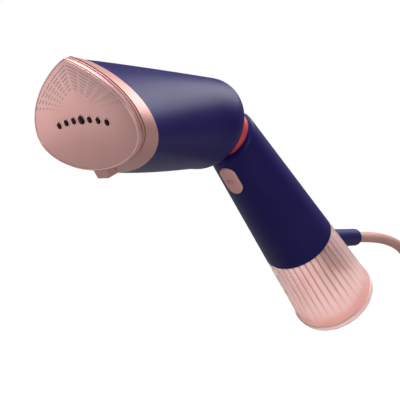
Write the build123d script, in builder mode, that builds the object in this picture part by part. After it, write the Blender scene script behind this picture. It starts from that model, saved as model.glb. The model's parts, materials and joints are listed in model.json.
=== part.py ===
"""Hand-held garment steamer with a twisting head, a pull-off water tank and a mains cord.

Millimetres and degrees. The origin is the grip point on the handle's axis, +Z is up, and the head
points along -X with its soleplate facing forwards and down, as a hand holds it against a garment.
"""

import math
import os

from build123d import *

# Layout of the head, the swivel and the handle
HEAD_LENGTH = 119.0  # soleplate's middle steam hole to the swivel centre, along X
HANDLE_DROP = 41.2  # the handle's axis below the head's axis
PLATE_LEAN = 23.25  # how far the soleplate leans from upright, to face downwards
GRIP_AT = 55.0  # swivel centre to the grip point, down the handle
FLOOR_DROP = 140.0  # grip point to the surface that the spare cord lies on

# Soleplate outline, from its middle steam hole
PLATE_HALF = 36.2
PLATE_TIP = 31.8
PLATE_FOOT = 27.4
PLATE_WAIST = 6.7  # the widest line lies this far below the middle hole
PLATE_THICK = 2.4
PLATE_EDGE = 0.8
TIP_LEAN = 17.0  # slope of the outline on each side of its tip
QUARTER_ROUND = 0.5523  # handle share of a curve that draws a quarter round
TIP_DRAW = 0.2923  # how much of that share the flank loses at its tip
FLANK_DRAW = 0.03  # and at its widest line
STEAM_HOLES = 3  # on each side of the middle hole
HOLE_PITCH = 5.66
HOLE_SAG = 0.25  # each hole lies this much lower times its place from the middle, squared
HOLE_R = 2.0
MIDDLE_HOLE_R = 2.6

# Bezel behind the soleplate
BEZEL_DEPTH = 14.0
COLLAR_AT = 2.8
COLLAR_DEPTH = 2.1
COLLAR_GROOVE = 0.9  # depth of the two grooves beside the collar's thin band
BAND_AT = 3.3
BAND_THICK = 1.0
BAND_INSET = 0.2
BEZEL_WALL = 3.0
BEZEL_LIP = 1.5  # inner lip at its rear, which the carrier presses on
BEZEL_DRAW = 0.9  # its rear is narrower than the soleplate by this on each side
BEZEL_TIP = 27.3
BEZEL_FOOT = 34.0
BEZEL_WAIST = 11.0
TAB_TOP = 13.0
TAB_FOOT = 7.5
TAB_DROP = 5.2  # tab below the soleplate's foot
TAB_DEPTH = 7.0

# Head shell
SHELL_WALL = 2.2
HEAD_TOP = 31.0  # its level top, above the head's axis
HEAD_R = 26.5  # round rear section
HEAD_STEPS = 8  # sections that the form is drawn through
WAIST_EASE = 1.3  # how the sides draw in towards the rear
REAR_STATION = 34.0  # swivel centre to where the rear section turns round
HEAD_END = 8.2  # flat rear face, before the swivel centre
HEAD_END_ROUND = 16.0
HEAD_END_WALL = 5.0
RING_SEAT = 2.0  # depth of the ring's seat in the rear face

# Swivel
RING_R = 14.6
RING_GAP = 0.3
RING_ROUND = 0.6
SPINDLE_R = 7.5
SPINDLE_BORE = 4.6
SPINDLE_FLANGE_R = 11.6
FLANGE_THICK = 2.4
SPINDLE_SCREWS = 3
SPINDLE_SCREW_R = 1.1
SPINDLE_SCREW_HEAD_R = 1.9
SPINDLE_SCREW_HEAD = 1.4
RUNNING_GAP = 0.1
BUSH_WALL = 2.0
BUSH_FLANGE = 1.5
BUSH_FLANGE_R = 12.2
CLIP_THICK = 1.4
CLIP_R = 10.4
CLIP_GROOVE = 0.9
SPINDLE_TAIL = 1.6  # spindle left past its clip
NOZZLE_R = 1.9
NOZZLE_BORE = 1.1
BARB_R = 2.9
BARB_LENGTH = 6.0
HOSE_WALL = 1.2

# Handle and tank: one cone from the swivel to the tank's foot
HANDLE_TOP_R = 16.7
HANDLE_END_R = 23.74
HANDLE_LENGTH = 99.1
HANDLE_WALL = 2.4
RIM_AT = 0.8  # the handle's slanting rim, past the swivel centre
RIM_ROUND = 3.6
END_WALL = 3.0
TANK_LENGTH = 56.8
CAP_HIGH = 7.8
TANK_WALL = 2.0
TANK_GAP = 0.3
CAP_ROUND = 6.0
CAP_LIP = 0.25
CAP_SPIGOT = 4.0
FLUTES = 36
FLUTE_R = 1.3
FLUTE_DEPTH = 0.6
FLUTE_STOP = 3.2  # flutes run out to nothing so far above the foot

# Tongue of the handle down the tank's back, which the cord leaves
TONGUE_FACE = 14.8  # its inner face, behind the handle's axis
TONGUE_HALF = 10.0
TONGUE_LENGTH = 45.9
TONGUE_OVERLAP = 7.1  # its root inside the handle
CHANNEL_HALF = 7.2
CHANNEL_WALL = 1.8
CHANNEL_FOOT = 4.0  # tongue left below the cord's channel
TONGUE_CLEARANCE = 0.3

# Tank mouth, dock and its seal
MOUTH_AT = 2.0  # mouth's axis, in front of the handle's axis
NECK_R = 15.5
MOUTH_R = 13.5
NECK_RISE = 6.1  # neck inside the handle's foot
DOCK_DEPTH = 10.6
DOCK_GROOVE_GAP = 0.6  # groove above the neck's end
DOCK_CLEARANCE = 0.3
DOCK_SPIGOT_R = 13.1
SEAL_RISE = 2.6  # seal above the handle's foot
SEAL_SECTION = 0.8
SEAL_CLEARANCE = 0.1

# Steam button
BUTTON_AT = 21.5
BUTTON_LONG = 19.6
BUTTON_WIDE = 10.4
BUTTON_GAP = 0.3
BUTTON_PROUD = 1.4
BUTTON_ROUND = 0.6
BUTTON_FLANGE = 1.3
BUTTON_FLANGE_TOP = 13.2
BUTTON_FLANGE_EDGE = 1.2
BUTTON_TRAVEL = 2.2
SPRING_WIRE_R = 0.35
BUTTON_SPRING_R = 3.0
BUTTON_SPRING_TURNS = 4
BUTTON_SPRING_AT = 17.0

# Chassis and what it carries
CHASSIS_FACE = 5.0  # front face, before the handle's axis
CHASSIS_THICK = 2.0
CHASSIS_TOP = 13.0
PUMP_BACK = 6.6  # pump's axis, behind the handle's axis
PUMP_R = 9.0
PUMP_TOP = 50.0
PUMP_LENGTH = 30.0
CORE_R = 4.6
CORE_BORE = 3.0
CORE_REACH = 3.0  # core tube past each end of the coil
CORE_WALL = 1.6
NIPPLE_R = 2.0
NIPPLE_LENGTH = 3.4
PLUNGER_LENGTH = 15.0
PUMP_END_GAP = 0.3
PUMP_SPRING_R = 2.0
PUMP_SPRING_TURNS = 5
DELIVERY_BEND = 0.45
BOARD_GAP = 2.0
BOARD_THICK = 1.6
BOARD_TOP = 44.0
BOARD_LENGTH = 38.0
BOARD_HALF = 11.0
BOARD_EDGE = 3.5
BOARD_BOSS_R = 2.4
BOARD_SCREW_R = 1.1
BOARD_SCREW_HEAD_R = 2.0
BOARD_SCREW_HEAD = 1.4
RELAY_HALF = 5.0
RELAY_LONG = 12.0
RELAY_HIGH = 7.0
CAPACITOR_R = 4.0
CAPACITOR_HIGH = 7.0
SWITCH_AT = 29.0
SWITCH_SIDE = 6.0
SWITCH_NUB_R = 1.5
SWITCH_HIGH = 2.8
TUBE_WALL = 0.8
TUBE_STOP = 7.2  # suction tube's end above the tank's foot
FILTER_R = 4.2
FILTER_LENGTH = 8.0
FILTER_BASE = 2.0

# Steam chamber and its fittings, behind the soleplate
GASKET_THICK = 0.8
CHAMBER_INSET = 9.4  # chamber's sides, inside the soleplate's outline
FLANGE_OVERHANG = 1.8  # chamber's front flange, past its sides
CHAMBER_FLANGE = 2.0
CHAMBER_DEPTH = 12.8
CHAMBER_WALL = 3.0
CAVITY_DEPTH = 6.6
CARRIER_GAP = 0.3
PLATE_PIN_R = 2.0
PLATE_PIN_LENGTH = 6.0
PLATE_PIN_TOP = 15.6
PLATE_PIN_X = 12.0
PLATE_PIN_FOOT = -13.0
COLUMN_WALL = 1.6
SCREW_INSET = 12.7  # screws inside the soleplate's widest line
SCREW_Y = -9.0
SCREW_R = 1.4
SCREW_HEAD_R = 2.6
SCREW_HEAD = 1.8
SCREW_BITE = 7.0
POST_R = 3.2
POST_DEPTH = 9.0
RIB_THICK = 3.0
HEATER_R = 3.3
HEATER_HALF = 13.0
HEATER_TOP = 4.0
HEATER_BEND = -2.0
HEATER_PIN_R = 1.2
HEATER_PIN = 6.0
THERMOSTAT_Y = -3.0
THERMOSTAT_R = 7.5
THERMOSTAT_THICK = 5.0
THERMOSTAT_CAP_R = 5.6
BLADE_HALF = 3.2
BLADE_LONG = 5.0
BLADE_THICK = 0.8
FUSE_GAP = 1.4  # fuse above the inlet's flange
FUSE_R = 2.2
FUSE_LENGTH = 11.0
INLET_Y = 9.5
INLET_BORE = 1.6
INLET_FLANGE_R = 4.4
INLET_FLANGE = 1.6
INLET_LENGTH = 9.0
FEED_BEND = 60.0

# Strain relief and cord
RELIEF_BACK = 18.94  # its root, behind the handle's axis
RELIEF_UP = 24.69  # and above the tongue's end
RELIEF_LENGTH = 45.4
RELIEF_R = 6.2
RELIEF_TIP_R = 5.9
RELIEF_TAPER = 30.0
RELIEF_FLANGE = 1.6
RELIEF_FLANGE_LONG = 27.0
RELIEF_ROUND = 1.8
CORD_R = 3.8
CORD_GAP = 0.5
LEAD_STRAIGHT = 22.0  # first run, straight out of the strain relief
LEAD_SHARE = 0.45  # how much of its shorter run each bend of the lead takes
COIL_R = 44.0
COIL_LAYERS = 4
COIL_HALF_TURNS = 3  # in each layer
COIL_COUNT = 13  # half turns in all
COIL_TAIL = 30.0
COIL_SAMPLES = 24
TIE_THICK = 1.2
TIE_WIDE = 12.0
TIE_GAP = 0.7
TIE_SLACK = 4.5

# Mains plug
PLUG_WIDE = 35.0
PLUG_HIGH = 13.7
PLUG_LONG = 28.0
PLUG_CORNER = 6.0
PLUG_ROUND = 3.0
PLUG_NOSE = 11.0
PLUG_NOSE_R = 5.2
PIN_R = 2.4
PIN_LENGTH = 19.0
PIN_PITCH = 19.0
PIN_SEAT = 6.0
PIN_ROUND = 1.2
PIN_STEP = 0.5  # pins are this much thinner where they sit in the plug

# Small clearance between pieces of one assembly that are pushed together
FIT = 0.05
RECESS_LONG = 1.4  # a screw's cross recess, as shares of its head's radius
RECESS_WIDE = 0.25

os.makedirs("parts", exist_ok=True)


def write(piece, name):
    """Label a finished piece and write it as its own file."""
    piece.part.label = name
    export_step(piece.part, f"parts/{name}.step")


def below_x(degrees):
    """The direction along X, turned down by so many degrees."""
    return Vector(math.cos(math.radians(degrees)), 0, -math.sin(math.radians(degrees)))


# Frames that the pieces are drawn in
down = below_x(HANDLE_DROP)
front = below_x(HANDLE_DROP + 90)
swivel = down * -GRIP_AT
handle = Plane(origin=swivel, x_dir=front, z_dir=down)
handle_axis = Axis(swivel, down)
handle_side = Plane(origin=swivel, x_dir=front, z_dir=(0, -1, 0))
twist_dir = below_x(HANDLE_DROP / 2)
twist = Plane(origin=swivel, x_dir=below_x(HANDLE_DROP / 2 + 90), z_dir=twist_dir)
hole_point = swivel + Vector(-HEAD_LENGTH, 0, 0)
plate_out = below_x(180 - PLATE_LEAN)
plate = Plane(origin=hole_point, x_dir=(0, -1, 0), z_dir=plate_out)
floor_z = -FLOOR_DROP


def handle_radius(at):
    """Outside radius of the cone that the handle and tank share."""
    return HANDLE_TOP_R + (HANDLE_END_R - HANDLE_TOP_R) * at / HANDLE_LENGTH


def head_station(before):
    """Upright plane across the head, so far before the swivel centre."""
    return Plane(origin=swivel + Vector(-before, 0, 0), x_dir=(0, -1, 0), z_dir=(-1, 0, 0))


def on_handle(forward, at, across=0.0):
    """A point by its place in front of the handle's axis, down it and across it."""
    return swivel + front * forward + down * at + Vector(0, across, 0)


def disc(plane, radius, bore=0.0):
    """A round face on a plane, with a hole where a bore is given."""
    with BuildSketch(plane) as face:
        Circle(radius)
        if bore > 0:
            Circle(bore, mode=Mode.SUBTRACT)
    return face.sketch


def outline(plane, half, tip, foot, waist, lean, inset=0.0):
    """One half of the head's pear-shaped section: a flank from its tip to its widest line, a round foot."""
    wide = half - inset
    high = tip - inset
    low = -foot + inset
    reach = wide * (QUARTER_ROUND - TIP_DRAW * lean / TIP_LEAN)
    lift = (high + waist) * (QUARTER_ROUND - FLANK_DRAW * lean / TIP_LEAN)
    round_x = QUARTER_ROUND * wide
    round_y = QUARTER_ROUND * (-waist - low)
    shoulder = high - reach * math.tan(math.radians(lean))
    with BuildLine(plane) as edge:
        Bezier((0, low), (round_x, low), (wide, -waist - round_y), (wide, -waist))
        Bezier((wide, -waist), (wide, lift - waist), (reach, shoulder), (0, high))
        Line((0, high), (0, low))
    return Face(Wire(edge.edges()))


def plate_outline(depth, inset=0.0):
    """Half of the soleplate's outline, so far behind its face."""
    behind_face = plate.offset(-depth)
    return outline(behind_face, PLATE_HALF, PLATE_TIP, PLATE_FOOT, PLATE_WAIST, TIP_LEAN, inset)


def bezel_outline(depth, inset=0.0):
    """Half of the bezel's rear outline, so far behind the soleplate's face."""
    behind_face = plate.offset(-depth)
    return outline(behind_face, bezel_half, BEZEL_TIP, BEZEL_FOOT, BEZEL_WAIST, TIP_LEAN, inset)


def rear_outline(before, inset):
    """Half of the head's round rear section, so far before the swivel centre."""
    foot = 2 * HEAD_R - HEAD_TOP
    return outline(head_station(before), HEAD_R, HEAD_TOP, foot, HEAD_R - HEAD_TOP, 0.0, inset)


def head_section(share, inset):
    """Half of the head's section at a share of the way from the bezel to its round rear."""
    bezel_back = hole_point - plate_out * BEZEL_DEPTH
    rear_point = swivel + Vector(-REAR_STATION, 0, 0)
    upright = below_x(180 - PLATE_LEAN * (1 - share))
    middle = bezel_back + (rear_point - bezel_back) * share
    station = Plane(origin=middle, x_dir=(0, -1, 0), z_dir=upright)

    def between(at_bezel, at_rear):
        return at_bezel + (at_rear - at_bezel) * share

    half = HEAD_R + (bezel_half - HEAD_R) * (1 - share) ** WAIST_EASE
    tip = between(BEZEL_TIP, HEAD_TOP)
    foot = between(BEZEL_FOOT, 2 * HEAD_R - HEAD_TOP)
    waist = between(BEZEL_WAIST, HEAD_R - HEAD_TOP)
    return outline(station, half, tip, foot, waist, between(TIP_LEAN, 0.0), inset)


def both_sides(halves):
    """A ruled form through half sections, with its mirror image on the other side."""
    with BuildPart() as form:
        loft(halves, ruled=True)
        mirror(about=Plane.XZ)
    return form.part


def slab(near, far, inset=0.0):
    """The soleplate's outline, drawn in by an inset, between two depths behind its face."""
    with BuildPart() as form:
        extrude(plate_outline(near, inset), amount=far - near, dir=plate_out * -1)
        mirror(about=Plane.XZ)
    return form.part


def head_front(inset):
    """The head's form from the bezel to its round section, drawn in by an inset."""
    return both_sides([head_section(step / HEAD_STEPS, inset) for step in range(HEAD_STEPS + 1)])


def head_rear(inset, end_inset, end_round):
    """The head's round rear, drawn in by an inset, with its slanting end rounded over."""
    with BuildPart() as form:
        extrude(rear_outline(REAR_STATION, inset), amount=2 * REAR_STATION, dir=(1, 0, 0))
        mirror(about=Plane.XZ)
        split(bisect_by=twist.offset(-HEAD_END - end_inset), keep=Keep.BOTTOM)
        end_face = form.faces().sort_by(Axis(swivel, twist_dir))[-1]
        fillet(end_face.edges(), end_round)
    return form.part


def half_turn(start, ahead, inward, radius, rise=0.0):
    """Two quarter arcs that turn a line right round, and lift it by a rise; returns them and their end."""
    lean = math.asin(rise / (2 * radius))
    across = inward * math.cos(lean) + Vector(0, 0, 1) * math.sin(lean)
    middle = start + (across + ahead) * radius
    end = start + across * 2 * radius
    eighth = math.sqrt(0.5)
    first = start + (across * (1 - eighth) + ahead * eighth) * radius
    second = middle + (across * eighth - ahead * (1 - eighth)) * radius
    arcs = [Edge.make_three_point_arc(start, first, middle)]
    arcs += [Edge.make_three_point_arc(middle, second, end)]
    return arcs, end


def swept(edges, radius, bore=0.0):
    """A round rod or tube along a smooth chain of edges."""
    path = Wire(edges)
    across = Plane(origin=path @ 0, z_dir=path % 0)
    with BuildPart() as rod:
        sweep(disc(across, radius, bore), path=path)
    return rod.part


def spring_edges(plane, radius, height, turns):
    """A spring's path on a plane, climbing along the plane's normal in steady half turns."""
    point = Vector(radius, 0, 0)
    ahead = Vector(0, 1, 0)
    edges = []
    for _ in range(2 * turns):
        inward = Vector(-math.copysign(1, point.X), 0, 0)
        arcs, point = half_turn(point, ahead, inward, radius, height / (2 * turns))
        edges += arcs
        ahead = ahead * -1
    return [plane.from_local_coords(edge) for edge in edges]


def cone(top, end, inset=0.0):
    """The cone of the handle and tank between two places down its axis, drawn in by an inset."""
    with BuildPart() as form:
        with BuildSketch(handle_side):
            with BuildLine():
                Polyline(
                    (0, top),
                    (handle_radius(top) - inset, top),
                    (handle_radius(end) - inset, end),
                    (0, end),
                    close=True,
                )
            make_face()
        revolve(axis=handle_axis)
    return form.part


def block(back, fore, half, top, end):
    """A block in the handle's frame, between two places in front of its axis and two down it."""
    with BuildPart() as form:
        with BuildSketch(handle.offset(top)):
            with Locations(((back + fore) / 2, 0)):
                Rectangle(fore - back, 2 * half)
        extrude(amount=end - top)
    return form.part


def rod(forward, top, end, radius, bore=0.0):
    """A round rod or tube along the handle, its axis so far in front of the handle's."""
    start = Plane(origin=on_handle(forward, top), x_dir=front, z_dir=down)
    with BuildPart() as form:
        extrude(disc(start, radius, bore), amount=end - top)
    return form.part


def behind(depth, x=0.0, y=0.0):
    """A plane so far behind the soleplate's face, centred on a place of it."""
    return Plane(origin=plate.from_local_coords(Vector(x, y, -depth)), x_dir=plate.x_dir, z_dir=plate_out)


def button_slot(forward, grow):
    """The steam button's outline on a plane across it, grown by a margin."""
    across = Plane(origin=on_handle(forward, BUTTON_AT), x_dir=down, z_dir=front)
    with BuildSketch(across) as face:
        SlotOverall(BUTTON_LONG + 2 * grow, BUTTON_WIDE + 2 * grow)
    return face.sketch


# Places that several pieces share
gasket_at = PLATE_THICK
chamber_at = gasket_at + GASKET_THICK
flange_back = chamber_at + CHAMBER_FLANGE
chamber_back = chamber_at + CHAMBER_DEPTH
cavity_inset = CHAMBER_INSET + CHAMBER_WALL
cavity_back = chamber_at + CAVITY_DEPTH
collar_back = COLLAR_AT + COLLAR_DEPTH
lip_front = BEZEL_DEPTH - BEZEL_LIP
hole_places = [(HOLE_PITCH * k, -HOLE_SAG * k * k, HOLE_R) for k in range(1, STEAM_HOLES + 1)]
steam_holes = [(0.0, 0.0, MIDDLE_HOLE_R)]
for place_x, place_y, hole_r in hole_places:
    steam_holes += [(place_x, place_y, hole_r), (-place_x, place_y, hole_r)]
plate_pins = [(0.0, PLATE_PIN_TOP), (PLATE_PIN_X, PLATE_PIN_FOOT), (-PLATE_PIN_X, PLATE_PIN_FOOT)]
chamber_screw_places = [(side * (PLATE_HALF - SCREW_INSET), SCREW_Y) for side in (1, -1)]
column_r = PLATE_PIN_R + COLUMN_WALL
screw_column_r = SCREW_HEAD_R + COLUMN_WALL
spindle_in = -HEAD_END - HEAD_END_WALL
bush_out_r = SPINDLE_R + RUNNING_GAP + BUSH_WALL
end_wall_in = RIM_AT + END_WALL
bush_in = end_wall_in + BUSH_FLANGE
clip_at = bush_in + RING_GAP
clip_in = clip_at + CLIP_THICK
spindle_out = clip_in + SPINDLE_TAIL
barb_start = spindle_in - FLANGE_THICK
barb_end = barb_start - BARB_LENGTH
nozzle_end = spindle_out + BARB_LENGTH
screw_circle = (SPINDLE_FLANGE_R + SPINDLE_R) / 2
dock_top = HANDLE_LENGTH - DOCK_DEPTH
neck_top = HANDLE_LENGTH - NECK_RISE
groove_top = neck_top - DOCK_GROOVE_GAP
seal_at = HANDLE_LENGTH - SEAL_RISE
tongue_root = HANDLE_LENGTH - TONGUE_OVERLAP
tongue_end = HANDLE_LENGTH + TONGUE_LENGTH
channel_end = tongue_end - CHANNEL_FOOT
tank_top = HANDLE_LENGTH + TANK_GAP
tank_foot = tank_top + TANK_LENGTH
tank_end = tank_foot + CAP_HIGH
flute_end = tank_foot - FLUTE_STOP
tube_end = tank_foot - TUBE_STOP
neck_root = tank_top + TANK_WALL
tube_bore = NIPPLE_R + FIT
tube_r = tube_bore + TUBE_WALL
pump_end = PUMP_TOP + PUMP_LENGTH
core_top = PUMP_TOP - CORE_REACH
core_end = pump_end + CORE_REACH
board_back = CHASSIS_FACE + BOARD_GAP
board_face = board_back + BOARD_THICK
button_back = BUTTON_FLANGE_TOP - BUTTON_FLANGE
relief_root = on_handle(-RELIEF_BACK, tongue_end - RELIEF_UP)
relief_tip = relief_root + Vector(RELIEF_LENGTH, 0, 0)
relief_start = Plane(origin=relief_root, z_dir=(1, 0, 0))
fuse_y = INLET_Y + INLET_FLANGE_R + FUSE_GAP + FUSE_R
bezel_half = PLATE_HALF - BEZEL_DRAW


def screw(plane, length, radius=SCREW_R, head_r=SCREW_HEAD_R, head=SCREW_HEAD):
    """A screw whose head lies before a plane and whose shank runs along the plane's normal."""
    with BuildPart() as form:
        extrude(disc(plane, head_r), amount=-head)
        extrude(disc(plane, radius), amount=length)
        with BuildSketch(plane.offset(-head)):
            Rectangle(RECESS_LONG * head_r, RECESS_WIDE * head_r)
            Rectangle(RECESS_WIDE * head_r, RECESS_LONG * head_r)
        extrude(amount=head / 2, mode=Mode.SUBTRACT)
    return form.part


# Soleplate: pressed metal with seven steam holes, held by three pins in the steam chamber
with BuildPart() as soleplate:
    add(slab(0, PLATE_THICK))
    fillet(soleplate.faces().sort_by(Axis(hole_point, plate_out))[-1].edges(), PLATE_EDGE)
    for hole_x, hole_y, hole_r in steam_holes:
        extrude(disc(behind(0, hole_x, hole_y), hole_r), amount=-PLATE_THICK, mode=Mode.SUBTRACT)
    for pin_x, pin_y in plate_pins:
        extrude(disc(behind(PLATE_THICK, pin_x, pin_y), PLATE_PIN_R), amount=-PLATE_PIN_LENGTH)
write(soleplate, "soleplate")

# Gasket between the soleplate and the chamber, with pads round the pins and screws
with BuildPart() as chamber_gasket:
    add(slab(gasket_at, chamber_at, CHAMBER_INSET))
    add(slab(gasket_at, chamber_at, cavity_inset), mode=Mode.SUBTRACT)
    for pin_x, pin_y in plate_pins:
        extrude(disc(behind(gasket_at, pin_x, pin_y), column_r), amount=-GASKET_THICK)
    for screw_x, screw_y in chamber_screw_places:
        extrude(disc(behind(gasket_at, screw_x, screw_y), screw_column_r), amount=-GASKET_THICK)
    for pin_x, pin_y in plate_pins:
        extrude(
            disc(behind(gasket_at, pin_x, pin_y), PLATE_PIN_R + FIT),
            amount=-GASKET_THICK,
            mode=Mode.SUBTRACT,
        )
    for screw_x, screw_y in chamber_screw_places:
        extrude(
            disc(behind(gasket_at, screw_x, screw_y), SCREW_HEAD_R + FIT),
            amount=-GASKET_THICK,
            mode=Mode.SUBTRACT,
        )
write(chamber_gasket, "chamber_gasket")

# Steam chamber: a cast block, hollow towards the soleplate, with the heater in a groove on its back
with BuildPart() as cavity:
    add(slab(chamber_at, cavity_back, cavity_inset))
    for pin_x, pin_y in plate_pins:
        extrude(disc(behind(chamber_at, pin_x, pin_y), column_r), amount=-CAVITY_DEPTH, mode=Mode.SUBTRACT)
    for screw_x, screw_y in chamber_screw_places:
        extrude(
            disc(behind(chamber_at, screw_x, screw_y), screw_column_r),
            amount=-CAVITY_DEPTH,
            mode=Mode.SUBTRACT,
        )


def heater_form(grow):
    """The heater's U-shaped rod and its two cold pins on the chamber's back, grown by a margin."""
    back = behind(chamber_back)
    with BuildLine(back) as path:
        Line((-HEATER_HALF, HEATER_TOP), (-HEATER_HALF, HEATER_BEND))
        JernArc((-HEATER_HALF, HEATER_BEND), (0, -1), HEATER_HALF, 180)
        Line((HEATER_HALF, HEATER_BEND), (HEATER_HALF, HEATER_TOP))
    with BuildPart() as form:
        add(swept(path.edges(), HEATER_R + grow))
        for end_x in (-HEATER_HALF, HEATER_HALF):
            tip = plate.from_local_coords(Vector(end_x, HEATER_TOP, -chamber_back))
            extrude(
                disc(Plane(origin=tip, z_dir=plate.y_dir), HEATER_PIN_R + grow),
                amount=HEATER_PIN + grow,
            )
    return form.part


with BuildPart() as steam_chamber:
    add(slab(chamber_at, chamber_back, CHAMBER_INSET))
    add(slab(chamber_at, flange_back, CHAMBER_INSET - FLANGE_OVERHANG))
    add(cavity.part, mode=Mode.SUBTRACT)
    add(heater_form(FIT), mode=Mode.SUBTRACT)
    for pin_x, pin_y in plate_pins:
        socket = behind(chamber_at, pin_x, pin_y)
        extrude(disc(socket, PLATE_PIN_R + FIT), amount=-PLATE_PIN_LENGTH, mode=Mode.SUBTRACT)
    for screw_x, screw_y in chamber_screw_places:
        seat = behind(chamber_at, screw_x, screw_y)
        extrude(disc(seat, SCREW_HEAD_R + FIT), amount=-SCREW_HEAD, mode=Mode.SUBTRACT)
        extrude(disc(seat, SCREW_R + FIT), amount=-CHAMBER_DEPTH, mode=Mode.SUBTRACT)
    extrude(
        disc(behind(chamber_back, 0, INLET_Y), INLET_BORE),
        amount=CHAMBER_DEPTH - CAVITY_DEPTH,
        mode=Mode.SUBTRACT,
    )
write(steam_chamber, "steam_chamber")

# Heating element with a cold pin at each end
with BuildPart() as heating_element:
    add(heater_form(0.0))
write(heating_element, "heating_element")

# Thermostat on the chamber's back, with two blades
with BuildPart() as thermostat:
    extrude(disc(behind(chamber_back, 0, THERMOSTAT_Y), THERMOSTAT_R), amount=-THERMOSTAT_THICK / 2)
    extrude(disc(behind(chamber_back, 0, THERMOSTAT_Y), THERMOSTAT_CAP_R), amount=-THERMOSTAT_THICK)
    with BuildSketch(behind(chamber_back + THERMOSTAT_THICK, 0, THERMOSTAT_Y)):
        with GridLocations(2 * BLADE_HALF, 1, 2, 1):
            Rectangle(BLADE_THICK, BLADE_HALF)
    extrude(amount=-BLADE_LONG)
write(thermostat, "thermostat")

# Thermal fuse lying across the chamber's back, above the inlet
with BuildPart() as thermal_fuse:
    fuse_start = plate.from_local_coords(
        Vector(-FUSE_LENGTH / 2, fuse_y, -chamber_back - FUSE_R - FIT),
    )
    extrude(disc(Plane(origin=fuse_start, z_dir=plate.x_dir), FUSE_R), amount=FUSE_LENGTH)
write(thermal_fuse, "thermal_fuse")

# Inlet fitting that the feed hose is pushed on
with BuildPart() as inlet_fitting:
    extrude(disc(behind(chamber_back, 0, INLET_Y), INLET_FLANGE_R, INLET_BORE), amount=-INLET_FLANGE)
    extrude(disc(behind(chamber_back, 0, INLET_Y), BARB_R, INLET_BORE), amount=-INLET_LENGTH)
write(inlet_fitting, "inlet_fitting")

# Two screws hidden under the soleplate, which draw the chamber, carrier and bezel to the head shell
with BuildPart() as chamber_screws:
    for screw_x, screw_y in chamber_screw_places:
        seat = behind(chamber_at + SCREW_HEAD, screw_x, screw_y)
        into = Plane(origin=seat.origin, x_dir=seat.x_dir, z_dir=plate_out * -1)
        add(screw(into, CHAMBER_DEPTH - SCREW_HEAD + SCREW_BITE))
write(chamber_screws, "chamber_screws")

# Carrier: a heat-resistant frame between the hot chamber and the bezel
with BuildPart() as chamber_carrier:
    add(
        both_sides([plate_outline(COLLAR_AT, BEZEL_WALL + FIT), bezel_outline(lip_front, BEZEL_WALL + FIT)]),
    )
    split(bisect_by=behind(flange_back), keep=Keep.BOTTOM)
    add(slab(flange_back, BEZEL_DEPTH, CHAMBER_INSET - CARRIER_GAP), mode=Mode.SUBTRACT)
write(chamber_carrier, "chamber_carrier")

# Bezel: a thin collar behind the soleplate, a wide band, an inner lip and a tab underneath
with BuildPart() as bezel:
    add(both_sides([plate_outline(collar_back), bezel_outline(BEZEL_DEPTH)]))
    add(slab(COLLAR_AT, collar_back, COLLAR_GROOVE))
    add(slab(BAND_AT, BAND_AT + BAND_THICK, BAND_INSET))
    with BuildSketch(behind(COLLAR_AT)):
        with BuildLine():
            Polyline(
                (-TAB_TOP / 2, BEZEL_WALL - PLATE_FOOT),
                (TAB_TOP / 2, BEZEL_WALL - PLATE_FOOT),
                (TAB_FOOT / 2, -PLATE_FOOT - TAB_DROP),
                (-TAB_FOOT / 2, -PLATE_FOOT - TAB_DROP),
                close=True,
            )
        make_face()
    extrude(amount=-TAB_DEPTH)
    add(
        both_sides([plate_outline(COLLAR_AT, BEZEL_WALL), bezel_outline(lip_front, BEZEL_WALL)]),
        mode=Mode.SUBTRACT,
    )
    add(
        both_sides([bezel_outline(depth, BEZEL_WALL + BEZEL_LIP) for depth in (lip_front, BEZEL_DEPTH)]),
        mode=Mode.SUBTRACT,
    )
write(bezel, "bezel")



def post_rib(screw_x, screw_y):
    """A rib from a screw post to the middle of the shell's wall."""
    wall_x = math.copysign(bezel_half - SHELL_WALL / 2, screw_x)
    with BuildPart() as rib:
        with BuildSketch(behind(chamber_back, (screw_x + wall_x) / 2, screw_y)):
            Rectangle(abs(wall_x - screw_x), RIB_THICK)
        extrude(amount=-POST_DEPTH)
        add(head_front(SHELL_WALL / 2), mode=Mode.INTERSECT)
    return rib.part


# Head shell: one moulding from the bezel to the slanting rear, with two screw posts inside
with BuildPart() as head_shell:
    add(head_front(0.0))
    add(head_rear(0.0, 0.0, HEAD_END_ROUND))
    add(head_front(SHELL_WALL), mode=Mode.SUBTRACT)
    add(head_rear(SHELL_WALL, HEAD_END_WALL, HEAD_END_ROUND - HEAD_END_WALL), mode=Mode.SUBTRACT)
    for screw_x, screw_y in chamber_screw_places:
        post = behind(chamber_back, screw_x, screw_y)
        extrude(disc(post, POST_R), amount=-POST_DEPTH)
        add(post_rib(screw_x, screw_y))
        extrude(disc(post, SCREW_R + FIT), amount=-SCREW_BITE - FIT, mode=Mode.SUBTRACT)
    extrude(disc(twist.offset(-HEAD_END), RING_R + RING_GAP), amount=-RING_SEAT, mode=Mode.SUBTRACT)
    extrude(disc(twist.offset(spindle_in), SPINDLE_R + FIT), amount=HEAD_END_WALL, mode=Mode.SUBTRACT)
    with BuildSketch(twist.offset(spindle_in)):
        with PolarLocations(screw_circle, SPINDLE_SCREWS):
            Circle(SPINDLE_SCREW_R + FIT)
    extrude(amount=HEAD_END_WALL - RING_SEAT, mode=Mode.SUBTRACT)
write(head_shell, "head_shell")

# Coloured ring that shows between the head and the handle
with BuildPart() as swivel_ring:
    seat_depth = HEAD_END + RING_SEAT
    extrude(disc(twist.offset(-seat_depth), RING_R, SPINDLE_R + FIT), amount=seat_depth + RIM_AT - RING_GAP)
    fillet(swivel_ring.edges().filter_by(GeomType.CIRCLE).sort_by(Axis(swivel, twist_dir))[-1], RING_ROUND)
write(swivel_ring, "swivel_ring")

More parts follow.
